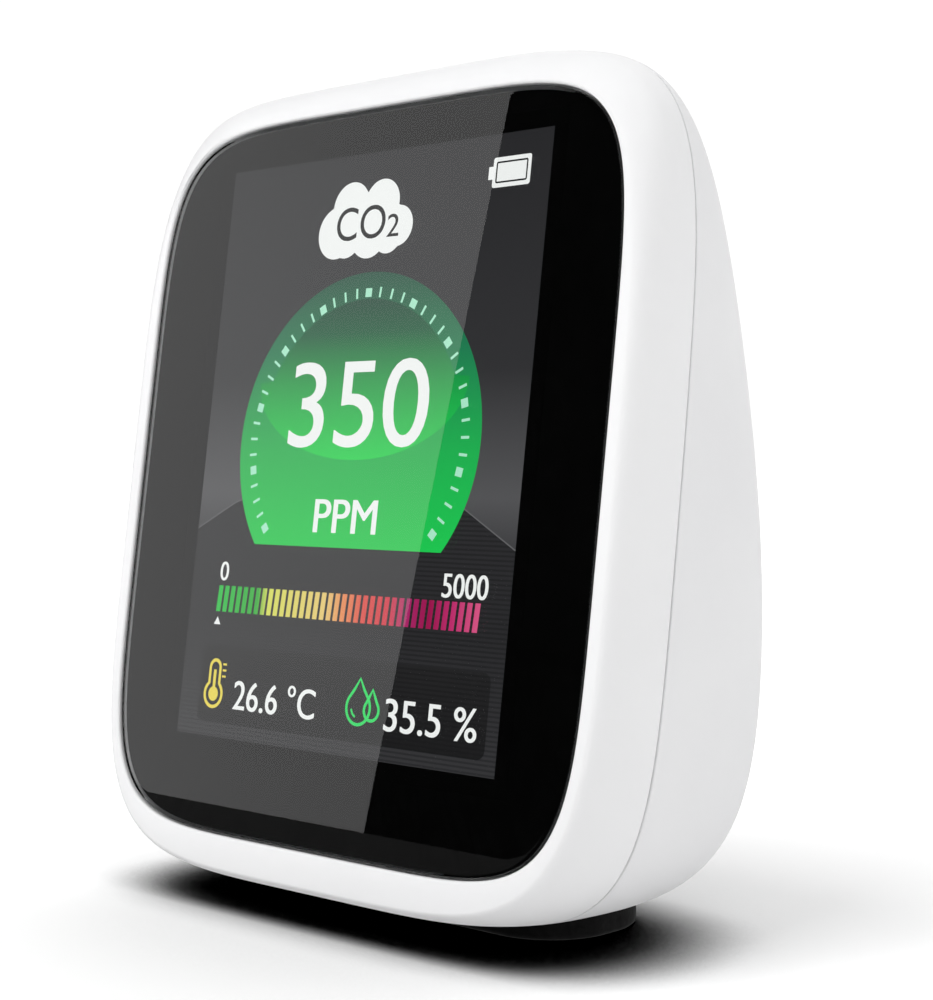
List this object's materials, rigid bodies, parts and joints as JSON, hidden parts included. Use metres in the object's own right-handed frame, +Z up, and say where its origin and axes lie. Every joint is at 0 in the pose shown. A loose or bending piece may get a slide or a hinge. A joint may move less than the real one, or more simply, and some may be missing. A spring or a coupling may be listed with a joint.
{
  "type": "air quality monitor",
  "caption": "Desktop air quality monitor: leaning rounded white casing with a glass-fronted colour display, rear vents, charging socket and push button, on a rubber base.",
  "frame": {"origin": "middle of the footprint, on the surface that the base rests on", "axes": "+Z up, the display faces -Y and leans back 8 degrees, +X to the right as seen facing the display"},
  "size_m": [0.0686, 0.0352, 0.0808],
  "materials": {
    "shell": "smooth satin white moulded plastic",
    "shell_button": "smooth satin white moulded plastic",
    "base_rubber": "matt black rubber",
    "cover_glass": "clear polished cover glass with a black printed border",
    "black_tape": "black foam tape",
    "display": "lit colour display under glass",
    "backlight_frame": "pressed steel tray",
    "flex": "amber polyimide film",
    "connector": "ivory nylon",
    "circuit_board": "green solder mask",
    "screw_steel": "zinc-plated steel",
    "chip": "black moulding compound",
    "gas_sensor_case": "gold-plated metal",
    "membrane": "white filter membrane",
    "pins": "gold-plated pins",
    "ribbon": "white flat ribbon",
    "socket_steel": "bright formed steel",
    "battery_foil": "soft aluminium laminate",
    "lead": "insulated wire",
    "dust_mesh": "fine black woven mesh"
  },
  "bodies": {
    "casing": {"front_shell": "shell", "rear_shell": "shell", "base_pad": "base_rubber", "cover_glass": "cover_glass", "glass_adhesive": "black_tape", "screen_panel": "display", "screen_backlight": "backlight_frame", "screen_flex": "flex", "flex_connector": "connector", "main_board": "circuit_board", "port_board": "circuit_board", "gas_sensor_board": "circuit_board", "climate_board": "circuit_board", "board_screws": "screw_steel", "port_board_screws": "screw_steel", "housing_screws": "screw_steel", "board_chips": "chip", "port_chips": "chip", "gas_sensor": "gas_sensor_case", "gas_membrane": "membrane", "gas_sensor_pins": "pins", "climate_sensor": "membrane", "buzzer": "chip", "ribbon_sockets": "connector", "link_ribbon": "ribbon", "usb_socket": "socket_steel", "usb_tongue": "chip", "switch_body": "chip", "battery_cell": "battery_foil", "battery_plug": "connector", "battery_lead": "lead", "dust_mesh": "dust_mesh"},
    "button": {"power_button": "shell_button", "switch_plunger": "chip"}
  },
  "joints": [
    {"name": "button_press", "type": "slide", "parent": "casing", "child": "button", "axis": [0, -1, 0], "range_m": [0, 0.0006], "stiffness_N_per_m": 2500}
  ]
}
